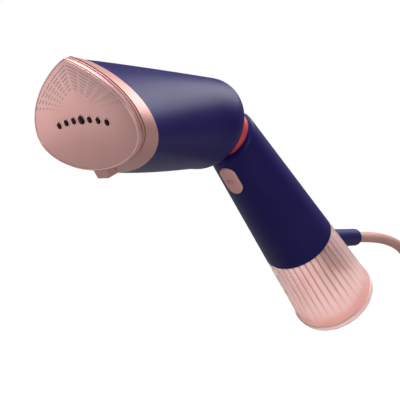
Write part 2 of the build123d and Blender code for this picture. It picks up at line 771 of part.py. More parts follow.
# Hollow spindle: screwed inside the head, it turns in the handle's bush and carries the feed hose
with BuildPart() as swivel_spindle:
    extrude(disc(twist.offset(barb_start), SPINDLE_FLANGE_R), amount=FLANGE_THICK)
    extrude(disc(twist.offset(spindle_in), SPINDLE_R), amount=spindle_out - spindle_in)
    extrude(disc(twist.offset(barb_end), BARB_R), amount=BARB_LENGTH)
    extrude(
        disc(twist.offset(clip_at), SPINDLE_R + FIT, SPINDLE_R - CLIP_GROOVE),
        amount=CLIP_THICK,
        mode=Mode.SUBTRACT,
    )
    extrude(
        disc(twist.offset(spindle_in), SPINDLE_BORE),
        amount=spindle_out - spindle_in,
        mode=Mode.SUBTRACT,
    )
    extrude(
        disc(twist.offset(barb_end), NOZZLE_R + RUNNING_GAP),
        amount=spindle_in - barb_end,
        mode=Mode.SUBTRACT,
    )
    with BuildSketch(twist.offset(barb_start)):
        with PolarLocations(screw_circle, SPINDLE_SCREWS):
            Circle(SPINDLE_SCREW_R + FIT)
    extrude(amount=FLANGE_THICK, mode=Mode.SUBTRACT)
write(swivel_spindle, "swivel_spindle")

with BuildPart() as spindle_screws:
    for place in PolarLocations(screw_circle, SPINDLE_SCREWS):
        seat = twist.offset(barb_start)
        into = Plane(origin=seat.from_local_coords(place.position), x_dir=seat.x_dir, z_dir=twist_dir)
        add(
            screw(
                into,
                FLANGE_THICK + HEAD_END_WALL - RING_SEAT - FIT,
                SPINDLE_SCREW_R,
                SPINDLE_SCREW_HEAD_R,
                SPINDLE_SCREW_HEAD,
            ),
        )
write(spindle_screws, "spindle_screws")

# Open spring clip in the spindle's groove, inside the handle
with BuildPart() as spindle_clip:
    extrude(
        disc(twist.offset(clip_at + FIT), CLIP_R, SPINDLE_R - CLIP_GROOVE + FIT),
        amount=CLIP_THICK - 2 * FIT,
    )
    with BuildSketch(twist.offset(clip_at)):
        with Locations((CLIP_R, 0)):
            Rectangle(2 * CLIP_R, 2 * SPINDLE_BORE)
    extrude(amount=CLIP_THICK, mode=Mode.SUBTRACT)
write(spindle_clip, "spindle_clip")

# Feed hose from the spindle to the chamber's inlet
inlet_point = plate.from_local_coords(Vector(0, INLET_Y, -chamber_back - INLET_FLANGE - FIT))
barb_point = swivel + twist_dir * barb_start
rise_dir = plate_out * -1
fall_dir = twist_dir
span = barb_point - inlet_point
meet = (span.Z * fall_dir.X - span.X * fall_dir.Z) / (rise_dir.Z * fall_dir.X - rise_dir.X * fall_dir.Z)
with BuildLine() as feed_path:
    FilletPolyline(inlet_point, inlet_point + rise_dir * meet, barb_point, radius=FEED_BEND)
with BuildPart() as feed_hose:
    add(swept(feed_path.edges(), BARB_R + FIT + HOSE_WALL, BARB_R + FIT))
write(feed_hose, "feed_hose")

# Handle shell: a cone with a slanting top and a tongue down the tank's back for the cord
with BuildPart() as handle_hollow:
    add(cone(-HANDLE_TOP_R, HANDLE_LENGTH, HANDLE_WALL))
    split(bisect_by=twist.offset(end_wall_in), keep=Keep.TOP)
with BuildPart() as tongue:
    add(cone(tongue_root, tongue_end))
    add(block(-2 * HANDLE_END_R, -TONGUE_FACE, TONGUE_HALF, tongue_root, tongue_end), mode=Mode.INTERSECT)
with BuildPart() as channel:
    add(cone(tongue_root, channel_end, CHANNEL_WALL))
    add(block(-2 * HANDLE_END_R, -TONGUE_FACE, CHANNEL_HALF, tongue_root, channel_end), mode=Mode.INTERSECT)
with BuildPart() as handle_shell:
    add(cone(-HANDLE_TOP_R, HANDLE_LENGTH))
    split(bisect_by=twist.offset(RIM_AT), keep=Keep.TOP)
    fillet(handle_shell.faces().sort_by(Axis(swivel, twist_dir))[0].edges(), RIM_ROUND)
    add(handle_hollow.part, mode=Mode.SUBTRACT)
    add(tongue.part)
    add(channel.part, mode=Mode.SUBTRACT)
    extrude(disc(twist.offset(RIM_AT), bush_out_r + FIT), amount=END_WALL, mode=Mode.SUBTRACT)
    extrude(button_slot(BUTTON_FLANGE_TOP, BUTTON_GAP), amount=HANDLE_TOP_R, mode=Mode.SUBTRACT)
    extrude(disc(relief_start, RELIEF_R + FIT), amount=RELIEF_LENGTH, mode=Mode.SUBTRACT)
write(handle_shell, "handle_shell")

# Plain bush that the spindle turns in
with BuildPart() as swivel_bush:
    extrude(disc(twist.offset(RIM_AT), bush_out_r), amount=END_WALL + BUSH_FLANGE)
    extrude(disc(twist.offset(end_wall_in), BUSH_FLANGE_R), amount=BUSH_FLANGE)
    extrude(
        disc(twist.offset(RIM_AT), SPINDLE_R + RUNNING_GAP),
        amount=END_WALL + BUSH_FLANGE,
        mode=Mode.SUBTRACT,
    )
write(swivel_bush, "swivel_bush")

# Fixed nozzle through the spindle, on which the spindle's inner end turns
with BuildPart() as swivel_nozzle:
    extrude(disc(twist.offset(barb_end), NOZZLE_R, NOZZLE_BORE), amount=nozzle_end - barb_end)
write(swivel_nozzle, "swivel_nozzle")

# Dock that closes the handle's foot, with a ring groove for the tank's neck
with BuildPart() as tank_dock:
    add(cone(dock_top, HANDLE_LENGTH, HANDLE_WALL + FIT))
    add(
        rod(MOUTH_AT, groove_top, HANDLE_LENGTH, NECK_R + DOCK_CLEARANCE, DOCK_SPIGOT_R),
        mode=Mode.SUBTRACT,
    )
    add(
        block(-2 * HANDLE_END_R, FIT - TONGUE_FACE, TONGUE_HALF + FIT, dock_top, HANDLE_LENGTH),
        mode=Mode.SUBTRACT,
    )
    add(rod(-PUMP_BACK, dock_top, HANDLE_LENGTH, tube_r + FIT), mode=Mode.SUBTRACT)
    seal_plane = Plane(origin=on_handle(MOUTH_AT, seal_at), x_dir=front, z_dir=down)
    seal_r = MOUTH_R - SEAL_CLEARANCE - SEAL_SECTION
    add(Torus(seal_r, SEAL_SECTION + FIT, mode=Mode.PRIVATE).moved(seal_plane.location), mode=Mode.SUBTRACT)
write(tank_dock, "tank_dock")

# Ring seal on the dock's spigot
with BuildPart() as dock_seal:
    add(Torus(seal_r, SEAL_SECTION, mode=Mode.PRIVATE).moved(seal_plane.location))
write(dock_seal, "dock_seal")

# Chassis: a flat plate that slides into the handle and stands on the dock
with BuildPart() as chassis:
    add(cone(CHASSIS_TOP, dock_top, HANDLE_WALL + FIT))
    add(
        block(CHASSIS_FACE - CHASSIS_THICK, CHASSIS_FACE, HANDLE_END_R, CHASSIS_TOP, dock_top),
        mode=Mode.INTERSECT,
    )
    for boss_at in (BOARD_TOP + BOARD_EDGE, BOARD_TOP + BOARD_LENGTH - BOARD_EDGE):
        boss = Plane(origin=on_handle(CHASSIS_FACE, boss_at), x_dir=down, z_dir=front)
        extrude(disc(boss, BOARD_BOSS_R), amount=BOARD_GAP)
        extrude(
            disc(boss.offset(BOARD_GAP), BOARD_SCREW_R + FIT),
            amount=-BOARD_GAP - CHASSIS_THICK,
            mode=Mode.SUBTRACT,
        )
write(chassis, "chassis")

# Control board on the chassis, with its larger parts and two screws
with BuildPart() as control_board:
    add(block(board_back, board_face, BOARD_HALF, BOARD_TOP, BOARD_TOP + BOARD_LENGTH))
    for boss_at in (BOARD_TOP + BOARD_EDGE, BOARD_TOP + BOARD_LENGTH - BOARD_EDGE):
        boss = Plane(origin=on_handle(board_back, boss_at), x_dir=down, z_dir=front)
        extrude(disc(boss, BOARD_SCREW_R + FIT), amount=BOARD_THICK, mode=Mode.SUBTRACT)
write(control_board, "control_board")

with BuildPart() as board_screws:
    for boss_at in (BOARD_TOP + BOARD_EDGE, BOARD_TOP + BOARD_LENGTH - BOARD_EDGE):
        into = Plane(origin=on_handle(board_face, boss_at), x_dir=down, z_dir=front * -1)
        add(
            screw(
                into,
                BOARD_THICK + BOARD_GAP + CHASSIS_THICK,
                BOARD_SCREW_R,
                BOARD_SCREW_HEAD_R,
                BOARD_SCREW_HEAD,
            ),
        )
write(board_screws, "board_screws")

with BuildPart() as board_parts:
    relay_top = BOARD_TOP + 2 * BOARD_EDGE
    add(block(board_face, board_face + RELAY_HIGH, RELAY_HALF, relay_top, relay_top + RELAY_LONG))
    can_at = relay_top + RELAY_LONG + CAPACITOR_R + RELAY_HALF / 2
    can = Plane(origin=on_handle(board_face, can_at), x_dir=down, z_dir=front)
    extrude(disc(can, CAPACITOR_R), amount=CAPACITOR_HIGH)
write(board_parts, "board_parts")

# Small switch under the steam button
with BuildPart() as micro_switch:
    switch_top = SWITCH_AT - SWITCH_SIDE / 2
    nub_back = CHASSIS_FACE + SWITCH_HIGH
    add(block(CHASSIS_FACE, nub_back, SWITCH_SIDE / 2, switch_top, switch_top + SWITCH_SIDE))
    nub = Plane(origin=on_handle(nub_back, SWITCH_AT), x_dir=down, z_dir=front)
    extrude(disc(nub, SWITCH_NUB_R), amount=button_back - BUTTON_TRAVEL - BUTTON_GAP - nub_back)
write(micro_switch, "micro_switch")

# Steam button: it follows the handle's curve and stands proud of it, and its flange stops it inside
with BuildPart() as steam_button:
    extrude(button_slot(BUTTON_FLANGE_TOP, 0), amount=BUTTON_FLANGE_TOP)
    add(cone(BUTTON_AT - BUTTON_LONG, BUTTON_AT + BUTTON_LONG, -BUTTON_PROUD), mode=Mode.INTERSECT)
    fillet(steam_button.faces().sort_by(Axis(swivel, front))[-1].edges(), BUTTON_ROUND)
    extrude(button_slot(button_back, BUTTON_FLANGE_EDGE), amount=BUTTON_FLANGE)
write(steam_button, "steam_button")

# Return spring between the chassis and the button
button_spring_height = button_back - CHASSIS_FACE - 2 * SPRING_WIRE_R - 2 * FIT
button_spring_foot = Plane(
    origin=on_handle(CHASSIS_FACE + SPRING_WIRE_R + FIT, BUTTON_SPRING_AT), x_dir=down, z_dir=front
)
with BuildPart() as button_spring:
    button_wire = spring_edges(
        button_spring_foot,
        BUTTON_SPRING_R,
        button_spring_height,
        BUTTON_SPRING_TURNS,
    )
    add(swept(button_wire, SPRING_WIRE_R))
write(button_spring, "button_spring")

# Solenoid pump behind the chassis: coil, core tube with two nipples, plunger and spring
with BuildPart() as pump_coil:
    add(rod(-PUMP_BACK, PUMP_TOP, pump_end, PUMP_R, CORE_R + FIT))
write(pump_coil, "pump_coil")

plunger_end = core_end - CORE_WALL - PUMP_END_GAP
plunger_top = plunger_end - PLUNGER_LENGTH
with BuildPart() as pump_body:
    add(rod(-PUMP_BACK, core_top, core_end, CORE_R))
    add(rod(-PUMP_BACK, core_top - NIPPLE_LENGTH, core_end + NIPPLE_LENGTH, NIPPLE_R))
    add(rod(-PUMP_BACK, core_top + CORE_WALL, core_end - CORE_WALL, CORE_BORE), mode=Mode.SUBTRACT)
    add(
        rod(-PUMP_BACK, core_top - NIPPLE_LENGTH, core_end + NIPPLE_LENGTH, NOZZLE_BORE),
        mode=Mode.SUBTRACT,
    )
write(pump_body, "pump_body")

with BuildPart() as pump_plunger:
    add(rod(-PUMP_BACK, plunger_top, plunger_end, CORE_BORE - RUNNING_GAP, NOZZLE_BORE))
write(pump_plunger, "pump_plunger")

pump_spring_foot = core_top + CORE_WALL + SPRING_WIRE_R + FIT
pump_spring_height = plunger_top - pump_spring_foot - SPRING_WIRE_R - FIT
pump_spring_plane = Plane(origin=on_handle(-PUMP_BACK, pump_spring_foot), x_dir=front, z_dir=down)
with BuildPart() as pump_spring:
    pump_wire = spring_edges(
        pump_spring_plane,
        PUMP_SPRING_R,
        pump_spring_height,
        PUMP_SPRING_TURNS,
    )
    add(swept(pump_wire, SPRING_WIRE_R))
write(pump_spring, "pump_spring")

# Delivery hose from the pump up to the swivel's nozzle
hose_start = swivel + twist_dir * (spindle_out + BARB_LENGTH / 2)
hose_meet = on_handle(-PUMP_BACK, PUMP_BACK / math.tan(math.radians(HANDLE_DROP / 2)))
hose_run = (hose_meet - hose_start).length
hose_bend = DELIVERY_BEND * hose_run / math.tan(math.radians(HANDLE_DROP / 4))
with BuildLine() as delivery_path:
    FilletPolyline(hose_start, hose_meet, on_handle(-PUMP_BACK, core_top - FIT), radius=hose_bend)
with BuildPart() as delivery_hose:
    add(swept(delivery_path.edges(), tube_r, tube_bore))
write(delivery_hose, "delivery_hose")

# Suction tube from the pump through the dock to the tank's foot, with a filter on its end
with BuildPart() as suction_tube:
    add(rod(-PUMP_BACK, core_end + FIT, tube_end, tube_r, tube_bore))
write(suction_tube, "suction_tube")

with BuildPart() as intake_filter:
    filter_top = tube_end + FILTER_BASE - FILTER_LENGTH
    add(rod(-PUMP_BACK, filter_top, tube_end + FILTER_BASE, FILTER_R))
    add(rod(-PUMP_BACK, filter_top, tube_end, tube_r + FIT), mode=Mode.SUBTRACT)
write(intake_filter, "intake_filter")

# Water tank: fluted outside, with a round neck that pushes into the dock and a notch for the tongue
notch_face = TONGUE_FACE - TONGUE_CLEARANCE
notch_half = TONGUE_HALF + TONGUE_CLEARANCE
notch_end = tongue_end + TONGUE_CLEARANCE
with BuildPart() as tank_hollow:
    add(cone(neck_root, tank_foot, TANK_WALL))
    add(
        block(
            -2 * HANDLE_END_R,
            TANK_WALL - notch_face,
            notch_half + TANK_WALL,
            tank_top,
            notch_end + TANK_WALL,
        ),
        mode=Mode.SUBTRACT,
    )
flute_top = on_handle(handle_radius(tank_top) + FLUTE_R - FLUTE_DEPTH, tank_top)
flute_foot = on_handle(handle_radius(flute_end) + FLUTE_R, flute_end)
flute = swept([Edge.make_line(flute_top, flute_foot)], FLUTE_R)
flutes = [flute.rotate(handle_axis, 360 / FLUTES * (k + 0.5)) for k in range(FLUTES)]
with BuildPart() as water_tank:
    add(cone(tank_top, tank_foot))
    add(flutes, mode=Mode.SUBTRACT)
    add(block(-2 * HANDLE_END_R, -notch_face, notch_half, tank_top, notch_end), mode=Mode.SUBTRACT)
    add(tank_hollow.part, mode=Mode.SUBTRACT)
    add(rod(MOUTH_AT, neck_top, neck_root, NECK_R))
    add(rod(MOUTH_AT, neck_top, neck_root, MOUTH_R), mode=Mode.SUBTRACT)
write(water_tank, "water_tank")

# Cap welded in the tank's foot
with BuildPart() as tank_end_cap:
    add(cone(tank_foot, tank_end, -CAP_LIP))
    fillet(tank_end_cap.faces().sort_by(handle_axis)[-1].edges(), CAP_ROUND)
    add(cone(tank_foot - CAP_SPIGOT, tank_foot, TANK_WALL + FIT))
    add(cone(tank_foot - CAP_SPIGOT, tank_end - TANK_WALL, 2 * TANK_WALL + FIT), mode=Mode.SUBTRACT)
write(tank_end_cap, "tank_end_cap")

# Strain relief: a smooth taper whose root passes through the tongue and is held by a flange inside
with BuildPart() as relief_flange:
    add(cone(tongue_root, channel_end, CHANNEL_WALL + FIT))
    add(cone(tongue_root, channel_end, CHANNEL_WALL + FIT + RELIEF_FLANGE), mode=Mode.SUBTRACT)
    add(
        block(-2 * HANDLE_END_R, 0, CHANNEL_HALF - FIT, channel_end - RELIEF_FLANGE_LONG, channel_end - FIT),
        mode=Mode.INTERSECT,
    )
with BuildPart() as strain_relief:
    with BuildSketch(Plane.XZ):
        with BuildLine():
            Polyline(
                (relief_root.X, relief_root.Z),
                (relief_root.X, relief_root.Z + RELIEF_R),
                (relief_tip.X - RELIEF_TAPER, relief_root.Z + RELIEF_R),
                (relief_tip.X, relief_root.Z + RELIEF_TIP_R),
                (relief_tip.X, relief_root.Z),
                close=True,
            )
        make_face()
    revolve(axis=Axis(relief_root, (1, 0, 0)))
    fillet(strain_relief.edges().filter_by(GeomType.CIRCLE).sort_by(Axis.X)[-1], RELIEF_ROUND)
    add(cone(tongue_root, tongue_end, CHANNEL_WALL + FIT + RELIEF_FLANGE), mode=Mode.SUBTRACT)
    add(relief_flange.part)
    extrude(disc(relief_start, CORD_R + FIT), amount=RELIEF_LENGTH, mode=Mode.SUBTRACT)
write(strain_relief, "strain_relief")

# End of the mains cord inside the strain relief
with BuildPart() as cord_end:
    extrude(disc(relief_start, CORD_R), amount=RELIEF_LENGTH)
write(cord_end, "cord_end")

# Free mains cord, from the strain relief down to the coil
lead_route = [
    (157.5, 0.4, -32.2),
    (177.0, 1.0, -38.0),
    (193.3, 2.2, -48.0),
    (204.2, 4.2, -61.0),
    (211.2, 8.2, -75.0),
    (217.5, 15.1, -89.5),
    (228.5, 23.4, -100.1),
    (240.1, 29.1, -106.1),
    (254.1, 32.0, -109.7),
    (268.6, 32.0, -109.7),
]
lead_start = relief_tip
lead_points = [lead_start, lead_start + Vector(LEAD_STRAIGHT, 0, 0)]
lead_points += [Vector(*point) for point in lead_route]
lead_runs = [after - before for before, after in zip(lead_points, lead_points[1:])]
lead_radii = []
for before, after in zip(lead_runs, lead_runs[1:]):
    turn = math.radians(before.get_angle(after))
    lead_radii += [LEAD_SHARE * min(before.length, after.length) / math.tan(turn / 2)]
with BuildLine() as lead_path:
    FilletPolyline(*lead_points, radius=lead_radii)
lead_wire = Wire(lead_path.edges())
with BuildPart() as cord_lead:
    add(swept(lead_path.edges(), CORD_R))
write(cord_lead, "cord_lead")
lead_volume = math.pi * CORD_R**2 * lead_wire.length
print("cord lead radii", [round(radius, 1) for radius in lead_radii])
print("cord lead length", round(lead_wire.length, 1), "volume share", cord_lead.part.volume / lead_volume)

# Coil of the spare cord: four layers that spiral in and out, each climb in the half turn between them
pitch = 2 * CORD_R + CORD_GAP
coil_radii = []
for layer in range(COIL_LAYERS):
    steps = range(COIL_HALF_TURNS) if layer % 2 == 0 else range(COIL_HALF_TURNS - 1, -1, -1)
    coil_radii += [(COIL_R - step * pitch / 2, 0.0) for step in steps]
    turn_step = COIL_HALF_TURNS if layer % 2 == 0 else -1
    coil_radii += [(COIL_R - turn_step * pitch / 2, -pitch)]
coil_radii = coil_radii[: COIL_COUNT]
coil_start = lead_points[-1]
coil_point = coil_start + Vector(2 * CORD_R, 0, 0)
coil_edges = [Edge.make_line(coil_start, coil_point)]
ahead = Vector(1, 0, 0)
for coil_radius, climb in coil_radii:
    inward = Vector(0, -1, 0) if ahead.X > 0 else Vector(0, 1, 0)
    arcs, arc_end = half_turn(coil_point, ahead, inward, coil_radius, climb)
    coil_edges += arcs
    coil_point = arc_end
    ahead = ahead * -1
coil_end = coil_point + ahead * COIL_TAIL
coil_edges += [Edge.make_line(coil_point, coil_end)]
with BuildPart() as cord_coil:
    add(swept(coil_edges, CORD_R))
write(cord_coil, "cord_coil")
coil_length = sum(edge.length for edge in coil_edges)
coil_line = [edge @ (step / COIL_SAMPLES) for edge in coil_edges for step in range(COIL_SAMPLES)]
coil_dots = [(dot.X, dot.Y, dot.Z) for dot in coil_line]
far_along = 2 * COIL_SAMPLES
coil_gap = min(
    math.dist(coil_dots[k], dot) for k in range(len(coil_dots)) for dot in coil_dots[k + far_along :]
)
print("cord coil length", round(coil_length, 1), "least gap to itself", round(coil_gap - 2 * CORD_R, 2))
print("cord length", round(coil_length + lead_wire.length, 1))

# Tie: a band round the coil's turns
tie_in_r = COIL_R - (COIL_HALF_TURNS - 1) * pitch / 2 - CORD_R - TIE_SLACK
tie_out_r = COIL_R + CORD_R + TIE_GAP
tie_wide_x = tie_out_r - tie_in_r
tie_high = (COIL_LAYERS - 1) * pitch + 2 * CORD_R + 2 * TIE_GAP
tie_centre = Vector(
    coil_start.X + 2 * CORD_R + (tie_in_r + tie_out_r) / 2,
    coil_start.Y - COIL_R,
    coil_start.Z - (COIL_LAYERS - 1) * pitch / 2,
)
with BuildPart() as cord_tie:
    with BuildSketch(Plane(origin=tie_centre, x_dir=(1, 0, 0), z_dir=(0, -1, 0))):
        RectangleRounded(tie_wide_x + 2 * TIE_THICK, tie_high + 2 * TIE_THICK, CORD_R + TIE_THICK)
        RectangleRounded(tie_wide_x, tie_high, CORD_R, mode=Mode.SUBTRACT)
    extrude(amount=TIE_WIDE / 2, both=True)
write(cord_tie, "cord_tie")

# Moulded plug on the cord's end, lying on the same surface, and its two pins
plug_back = Plane(origin=coil_end, x_dir=(0, -1, 0), z_dir=ahead)
plug_middle = Vector(coil_end.X, coil_end.Y, floor_z + PLUG_HIGH / 2)
plug_body_at = Plane(origin=plug_middle + ahead * PLUG_NOSE, x_dir=(0, -1, 0), z_dir=ahead)
pins_at = plug_body_at.offset(PLUG_LONG - PIN_SEAT)
with BuildPart() as plug_body:
    with BuildSketch(plug_body_at):
        RectangleRounded(PLUG_WIDE, PLUG_HIGH, PLUG_CORNER)
    extrude(amount=PLUG_LONG)
    fillet(plug_body.faces().sort_by(Axis.X)[-1].edges(), PLUG_ROUND)
    extrude(disc(plug_back, PLUG_NOSE_R), amount=PLUG_NOSE + PLUG_ROUND)
    with BuildSketch(pins_at):
        with GridLocations(PIN_PITCH, 1, 2, 1):
            Circle(PIN_R - PIN_STEP + FIT)
    extrude(amount=PIN_SEAT, mode=Mode.SUBTRACT)
write(plug_body, "plug_body")

with BuildPart() as plug_pins:
    with BuildSketch(pins_at):
        with GridLocations(PIN_PITCH, 1, 2, 1):
            Circle(PIN_R - PIN_STEP)
    extrude(amount=PIN_SEAT)
    with BuildSketch(pins_at.offset(PIN_SEAT)):
        with GridLocations(PIN_PITCH, 1, 2, 1):
            Circle(PIN_R)
    extrude(amount=PIN_LENGTH)
    fillet(plug_pins.faces().group_by(Axis.X)[0].edges(), PIN_ROUND)
write(plug_pins, "plug_pins")
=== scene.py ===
import json
import math

import bpy
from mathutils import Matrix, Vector

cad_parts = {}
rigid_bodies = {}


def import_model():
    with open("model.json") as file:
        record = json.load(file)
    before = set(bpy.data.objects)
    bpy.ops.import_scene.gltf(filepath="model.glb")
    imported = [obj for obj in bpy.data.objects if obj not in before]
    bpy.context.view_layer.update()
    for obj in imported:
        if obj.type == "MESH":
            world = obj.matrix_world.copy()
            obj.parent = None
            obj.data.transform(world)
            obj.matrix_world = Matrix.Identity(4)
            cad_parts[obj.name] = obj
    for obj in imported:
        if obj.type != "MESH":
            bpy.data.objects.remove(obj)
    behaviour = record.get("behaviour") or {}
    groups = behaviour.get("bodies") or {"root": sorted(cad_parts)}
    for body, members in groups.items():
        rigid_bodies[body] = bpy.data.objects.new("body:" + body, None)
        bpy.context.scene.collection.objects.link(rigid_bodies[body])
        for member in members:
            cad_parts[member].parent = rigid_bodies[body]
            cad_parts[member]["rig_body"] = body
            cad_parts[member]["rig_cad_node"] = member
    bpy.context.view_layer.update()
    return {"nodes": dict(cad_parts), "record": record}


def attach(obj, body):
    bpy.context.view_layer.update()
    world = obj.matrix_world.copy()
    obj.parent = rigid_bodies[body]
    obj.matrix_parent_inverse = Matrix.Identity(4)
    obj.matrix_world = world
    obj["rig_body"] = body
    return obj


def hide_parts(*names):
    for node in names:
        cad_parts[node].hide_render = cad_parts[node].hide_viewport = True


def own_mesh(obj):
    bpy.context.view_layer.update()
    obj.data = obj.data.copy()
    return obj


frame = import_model()
nodes = frame["nodes"]
bpy.ops.object.select_all(action="DESELECT")

# Camera: level with the steamer, in front of the steam face and to its side, with a long lens.
# It looks straight ahead, so the handle slants down and away from it.
camera_place = Vector((-0.5101, -0.3619, -0.0068))
camera_look = Vector((0.7747, 0.6322, 0.0061))
camera_data = bpy.data.cameras.new("camera")
camera_data.lens = 90
camera_data.sensor_width = 36
camera = bpy.data.objects.new("camera", camera_data)
camera.location = camera_place
camera.rotation_euler = camera_look.to_track_quat("-Z", "Y").to_euler()
bpy.context.scene.collection.objects.link(camera)
bpy.context.scene.camera = camera
bpy.context.scene.view_settings.view_transform = "Standard"

# Mains cord: one round lead sheathed in soft pink rubber. It comes straight out of the strain relief,
# bends down to the surface, and its spare length is wound in a neat coil that a band holds.
cord_r = 0.0038
cord_gap = 0.0005
cord_exit = (0.107016, 0.0, -0.028768)
lead_route = [
    (0.129016, 0.0, -0.028768),
    (0.1575, 0.0004, -0.0322),
    (0.1770, 0.0010, -0.0380),
    (0.1933, 0.0022, -0.0480),
    (0.2042, 0.0042, -0.0610),
    (0.2112, 0.0082, -0.0750),
    (0.2175, 0.0151, -0.0895),
    (0.2285, 0.0234, -0.1001),
    (0.2401, 0.0291, -0.1061),
    (0.2541, 0.0320, -0.1097),
    (0.2686, 0.0320, -0.1097),
]
coil_r = 0.044
coil_layers = 4
half_turns_per_layer = 3
half_turns = 13
points_per_half_turn = 6
coil_tail = 0.030
tail_start = coil_tail / 3

# Each half turn of the coil has a radius and a climb. A layer spirals in, and the next one, below it, out.
cord_points = [Vector(cord_exit)] + [Vector(point) for point in lead_route]
cord_pitch = 2 * cord_r + cord_gap
coil_steps = []
for layer in range(coil_layers):
    inwards = layer % 2 == 0
    steps = range(half_turns_per_layer) if inwards else range(half_turns_per_layer - 1, -1, -1)
    coil_steps += [(coil_r - step * cord_pitch / 2, 0.0) for step in steps]
    between_layers = half_turns_per_layer if inwards else -1
    coil_steps += [(coil_r - between_layers * cord_pitch / 2, -cord_pitch)]
coil_point = cord_points[-1] + Vector((2 * cord_r, 0, 0))
ahead = Vector((1, 0, 0))
half_step = math.pi / points_per_half_turn / 2
for turn_r, climb in coil_steps[:half_turns]:
    lean = math.asin(climb / (2 * turn_r))
    inward = Vector((0, -ahead.x * math.cos(lean), math.sin(lean)))
    turn_centre = coil_point + inward * turn_r
    for k in range(points_per_half_turn):
        angle = half_step * (2 * k + 1)
        spoke = ahead * math.sin(angle) - inward * math.cos(angle)
        cord_points += [turn_centre + spoke * (turn_r / math.cos(half_step))]
    coil_point = coil_point + inward * (2 * turn_r)
    ahead = -ahead
cord_points += [coil_point + ahead * tail_start, coil_point + ahead * coil_tail]

cord_curve = bpy.data.curves.new("mains_cord", "CURVE")
cord_curve.dimensions = "3D"
cord_line = cord_curve.splines.new("NURBS")
cord_line.points.add(len(cord_points) - 1)
for knot, point in zip(cord_line.points, cord_points):
    knot.co = (*point, 1.0)
cord_line.order_u = 3
cord_line.use_endpoint_u = True
cord_line.resolution_u = 8
cord_curve.bevel_depth = cord_r
cord_curve.bevel_resolution = 6
cord_curve.use_fill_caps = True
mains_cord = bpy.data.objects.new("mains_cord", cord_curve)
bpy.context.scene.collection.objects.link(mains_cord)


class Shade:
    """A socket of a material. Arithmetic on it adds the Math nodes that work it out."""

    def __init__(self, tree, socket=None):
        self.tree = tree
        self.socket = socket

    def node(self, kind, settings, inputs, output=0):
        """Add a node of a type, with its settings and then its sockets, and give one of its outputs."""
        made = self.tree.nodes.new("ShaderNode" + kind)
        for name, value in settings.items():
            setattr(made, name, value)
        for name, value in inputs.items():
            if isinstance(value, Shade):
                self.tree.links.new(value.socket, made.inputs[name])
            else:
                made.inputs[name].default_value = value
        return Shade(self.tree, made.outputs[output])

    def math(self, operation, first, second=0.0):
        """Add a Math node on one or two values."""
        return self.node("Math", {"operation": operation}, {0: first, 1: second})

    def __add__(self, other):
        return self.math("ADD", self, other)

    def __radd__(self, other):
        return self.math("ADD", other, self)

    def __sub__(self, other):
        return self.math("SUBTRACT", self, other)

    def __rsub__(self, other):
        return self.math("SUBTRACT", other, self)

    def __mul__(self, other):
        return self.math("MULTIPLY", self, other)

    def __rmul__(self, other):
        return self.math("MULTIPLY", other, self)

    def __truediv__(self, other):
        return self.math("DIVIDE", self, other)

    def __pow__(self, other):
        return self.math("POWER", self, other)

    def __abs__(self):
        return self.math("ABSOLUTE", self)

    def ranged(self, low, high):
        """One number where this is 0 and another where it is 1."""
        return low + (high - low) * self

    def above(self, edge, soft):
        """0 below an edge and 1 above it, with a soft step between."""
        settings = {"interpolation_type": "SMOOTHSTEP"}
        inputs = {"Value": self, "From Min": edge - soft, "From Max": edge + soft}
        return self.node("MapRange", settings, inputs)

    def along(self, origin, way):
        """How far a place lies along a direction, in metres from an origin."""
        moved = self.node("VectorMath", {"operation": "SUBTRACT"}, {0: self, 1: tuple(origin)})
        return self.node("VectorMath", {"operation": "DOT_PRODUCT"}, {0: moved, 1: tuple(way)}, "Value")

    def noise(self, scale, detail=2.0, roughness=0.5):
        """A cloudy value about 0.5 at each place, with a scale in clouds per metre."""
        inputs = {"Vector": self, "Scale": scale, "Detail": detail, "Roughness": roughness}
        return self.node("TexNoise", {}, inputs)

    def mixed(self, first, second):
        """One colour where this is 0 and another where it is 1."""
        colour_a = 6
        colour_b = 7
        colour_result = 2
        inputs = {"Factor": self, colour_a: first, colour_b: second}
        return self.node("Mix", {"data_type": "RGBA"}, inputs, colour_result)

    def bumped(self, strength, distance):
        """A surface normal that follows this as a height."""
        return self.node("Bump", {}, {"Height": self, "Strength": strength, "Distance": distance})


def colour(red, green, blue):
    """A display colour of 0 to 255 as the shader's own linear values, by the sRGB curve."""
    parts = [value / 255 for value in (red, green, blue)]
    return tuple(v / 12.92 if v <= 0.04045 else ((v + 0.055) / 1.055) ** 2.4 for v in parts) + (1.0,)


def new_finish(name, **sockets):
    """A new material with some of its shader's sockets set, its shader, and its Object coordinates."""
    material = bpy.data.materials.new(name)
    material.use_nodes = True
    shader = material.node_tree.nodes["Principled BSDF"]
    for socket, value in sockets.items():
        shader.inputs[socket.replace("_", " ")].default_value = value
    place = Shade(material.node_tree).node("TexCoord", {}, {}, "Object")
    return material, shader, place


def feed(shader, **values):
    """Link worked-out values to a shader's sockets."""
    for socket, value in values.items():
        value.tree.links.new(value.socket, shader.inputs[socket.replace("_", " ")])


def moulded(name, tone, shade_tone, roughness, grain, depth, **sockets):
    """Moulded plastic or rubber: a tone that drifts a little, and a fine grain.

    The grain, in clouds per metre, shows in the roughness and, to a depth in metres, in the height.
    """
    roughness_swing = 0.05
    material, shader, place = new_finish(name, **sockets)
    drift = place.noise(scale=38.0, detail=3.0)
    fine = place.noise(scale=grain, roughness=0.6)
    feed(
        shader,
        Base_Color=drift.above(edge=0.5, soft=0.28).mixed(tone, shade_tone),
        Roughness=fine.ranged(roughness - roughness_swing, roughness + roughness_swing),
        Normal=fine.bumped(strength=0.35, distance=depth),
    )
    return material


